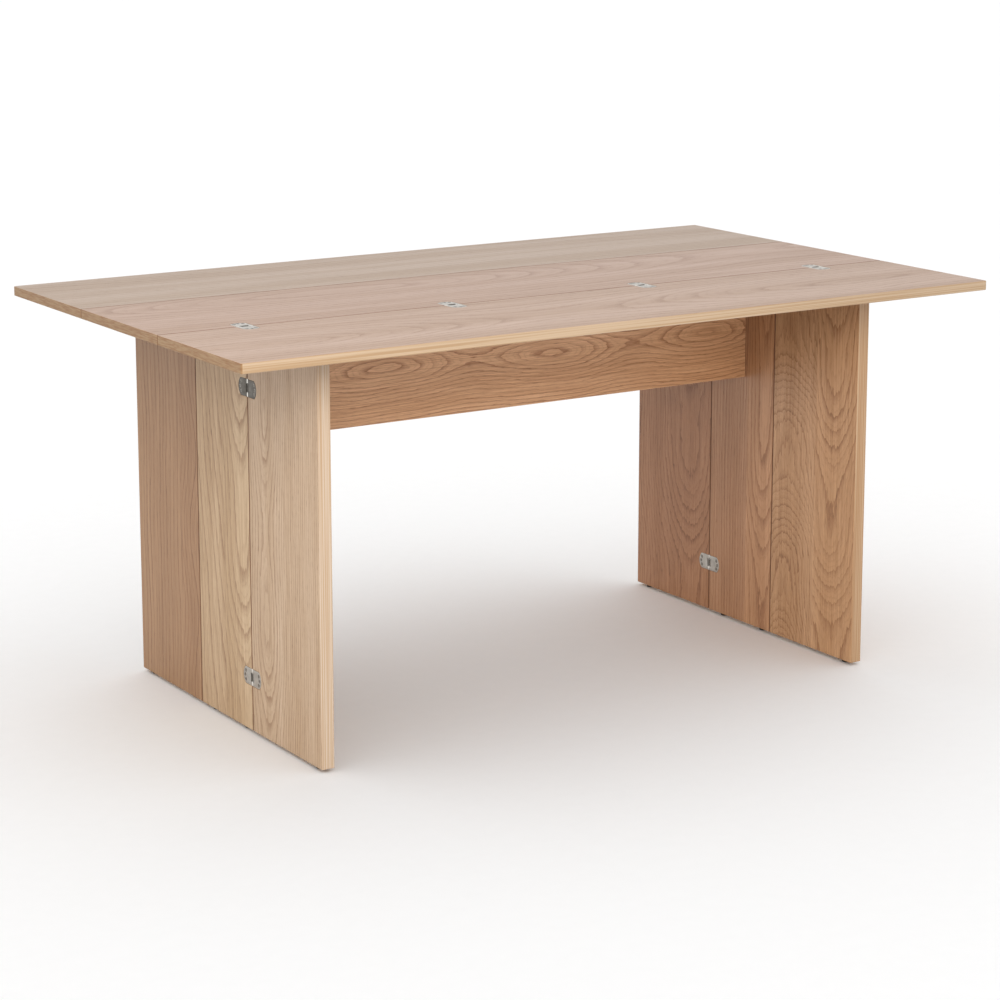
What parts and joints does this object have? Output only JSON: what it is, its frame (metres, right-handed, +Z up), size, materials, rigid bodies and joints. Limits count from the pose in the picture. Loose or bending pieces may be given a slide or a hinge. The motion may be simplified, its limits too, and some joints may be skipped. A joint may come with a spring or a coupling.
{
  "type": "drop leaf table",
  "caption": "Drop leaf table: a lengthwise split top on split panel legs tied by a deep apron; the front leaf folds over the top and the leg sections fold flat on link hinges.",
  "frame": {"origin": "on the floor under the middle of the top, at the bottom centre of the bounding box", "axes": "+X along the table's length, to the right as seen from the front; -Y to the front, the side of the leaf with the visible hinges; +Z up"},
  "size_m": [1.6, 0.94, 0.76],
  "materials": {
    "oak_top": "oak veneer, clear matt lacquer, grain along the length",
    "oak_leg": "oak veneer, clear matt lacquer, upright grain",
    "oak_apron": "oak veneer, clear matt lacquer, grain along the length",
    "zinc": "die-cast, satin nickel plated",
    "black_plastic": "moulded, matt",
    "plated_steel": "pressed, zinc plated"
  },
  "bodies": {
    "stand": {"centre_board": "oak_top", "rear_leaf": "oak_top", "apron": "oak_apron", "left_leg_centre": "oak_leg", "left_glide_centre_front": "black_plastic", "left_glide_centre_rear": "black_plastic", "left_bracket": "plated_steel", "right_leg_centre": "oak_leg", "right_glide_centre_front": "black_plastic", "right_glide_centre_rear": "black_plastic", "right_bracket": "plated_steel", "rear_leaf_hinge_1": "zinc", "rear_leaf_hinge_2": "zinc", "rear_leaf_hinge_3": "zinc", "rear_leaf_hinge_4": "zinc", "front_leaf_hinge_1_fixed_plate": "zinc", "front_leaf_hinge_2_fixed_plate": "zinc", "front_leaf_hinge_3_fixed_plate": "zinc", "front_leaf_hinge_4_fixed_plate": "zinc", "left_front_leg_hinge_top_fixed_plate": "zinc", "left_front_leg_hinge_bottom_fixed_plate": "zinc", "left_rear_leg_hinge_top_fixed_plate": "zinc", "left_rear_leg_hinge_bottom_fixed_plate": "zinc", "right_front_leg_hinge_top_fixed_plate": "zinc", "right_front_leg_hinge_bottom_fixed_plate": "zinc", "right_rear_leg_hinge_top_fixed_plate": "zinc", "right_rear_leg_hinge_bottom_fixed_plate": "zinc"},
    "front_leaf_links": {"front_leaf_hinge_1_link": "zinc", "front_leaf_hinge_2_link": "zinc", "front_leaf_hinge_3_link": "zinc", "front_leaf_hinge_4_link": "zinc"},
    "front_leaf": {"front_leaf": "oak_top", "front_leaf_hinge_1_moving_plate": "zinc", "front_leaf_hinge_2_moving_plate": "zinc", "front_leaf_hinge_3_moving_plate": "zinc", "front_leaf_hinge_4_moving_plate": "zinc"},
    "left_front_leg_links": {"left_front_leg_hinge_top_link": "zinc", "left_front_leg_hinge_bottom_link": "zinc"},
    "left_front_leg": {"left_leg_front": "oak_leg", "left_glide_front": "black_plastic", "left_front_leg_hinge_top_moving_plate": "zinc", "left_front_leg_hinge_bottom_moving_plate": "zinc"},
    "left_rear_leg_links": {"left_rear_leg_hinge_top_link": "zinc", "left_rear_leg_hinge_bottom_link": "zinc"},
    "left_rear_leg": {"left_leg_rear": "oak_leg", "left_glide_rear": "black_plastic", "left_rear_leg_hinge_top_moving_plate": "zinc", "left_rear_leg_hinge_bottom_moving_plate": "zinc"},
    "right_front_leg_links": {"right_front_leg_hinge_top_link": "zinc", "right_front_leg_hinge_bottom_link": "zinc"},
    "right_front_leg": {"right_leg_front": "oak_leg", "right_glide_front": "black_plastic", "right_front_leg_hinge_top_moving_plate": "zinc", "right_front_leg_hinge_bottom_moving_plate": "zinc"},
    "right_rear_leg_links": {"right_rear_leg_hinge_top_link": "zinc", "right_rear_leg_hinge_bottom_link": "zinc"},
    "right_rear_leg": {"right_leg_rear": "oak_leg", "right_glide_rear": "black_plastic", "right_rear_leg_hinge_top_moving_plate": "zinc", "right_rear_leg_hinge_bottom_moving_plate": "zinc"}
  },
  "joints": [
    {"name": "front_leaf_fixed_pin", "type": "hinge", "parent": "stand", "child": "front_leaf_links", "pos_m": [0, -0.1555, 0.7576], "axis": [-1, 0, 0], "range_deg": [0, 90]},
    {"name": "front_leaf_moving_pin", "type": "hinge", "parent": "front_leaf_links", "child": "front_leaf", "pos_m": [0, -0.1615, 0.7576], "axis": [-1, 0, 0], "range_deg": [0, 90]},
    {"name": "left_front_leg_fixed_pin", "type": "hinge", "parent": "stand", "child": "left_front_leg_links", "pos_m": [-0.5996, -0.1, 0.372], "axis": [0, 0, -1], "range_deg": [0, 90]},
    {"name": "left_front_leg_moving_pin", "type": "hinge", "parent": "left_front_leg_links", "child": "left_front_leg", "pos_m": [-0.5996, -0.106, 0.372], "axis": [0, 0, -1], "range_deg": [0, 90]},
    {"name": "left_rear_leg_fixed_pin", "type": "hinge", "parent": "stand", "child": "left_rear_leg_links", "pos_m": [-0.5794, 0.1, 0.372], "axis": [0, 0, -1], "range_deg": [0, 55.5]},
    {"name": "left_rear_leg_moving_pin", "type": "hinge", "parent": "left_rear_leg_links", "child": "left_rear_leg", "pos_m": [-0.5794, 0.106, 0.372], "axis": [0, 0, -1], "range_deg": [0, 55.5]},
    {"name": "right_front_leg_fixed_pin", "type": "hinge", "parent": "stand", "child": "right_front_leg_links", "pos_m": [0.5996, -0.1, 0.372], "axis": [0, 0, 1], "range_deg": [0, 90]},
    {"name": "right_front_leg_moving_pin", "type": "hinge", "parent": "right_front_leg_links", "child": "right_front_leg", "pos_m": [0.5996, -0.106, 0.372], "axis": [0, 0, 1], "range_deg": [0, 90]},
    {"name": "right_rear_leg_fixed_pin", "type": "hinge", "parent": "stand", "child": "right_rear_leg_links", "pos_m": [0.5794, 0.1, 0.372], "axis": [0, 0, 1], "range_deg": [0, 55.5]},
    {"name": "right_rear_leg_moving_pin", "type": "hinge", "parent": "right_rear_leg_links", "child": "right_rear_leg", "pos_m": [0.5794, 0.106, 0.372], "axis": [0, 0, 1], "range_deg": [0, 55.5]}
  ],
  "couplings": [
    {"joint": "front_leaf_moving_pin", "follows": "front_leaf_fixed_pin", "ratio": 1},
    {"joint": "left_front_leg_moving_pin", "follows": "left_front_leg_fixed_pin", "ratio": 1},
    {"joint": "left_rear_leg_moving_pin", "follows": "left_rear_leg_fixed_pin", "ratio": 1},
    {"joint": "right_front_leg_moving_pin", "follows": "right_front_leg_fixed_pin", "ratio": 1},
    {"joint": "right_rear_leg_moving_pin", "follows": "right_rear_leg_fixed_pin", "ratio": 1}
  ]
}
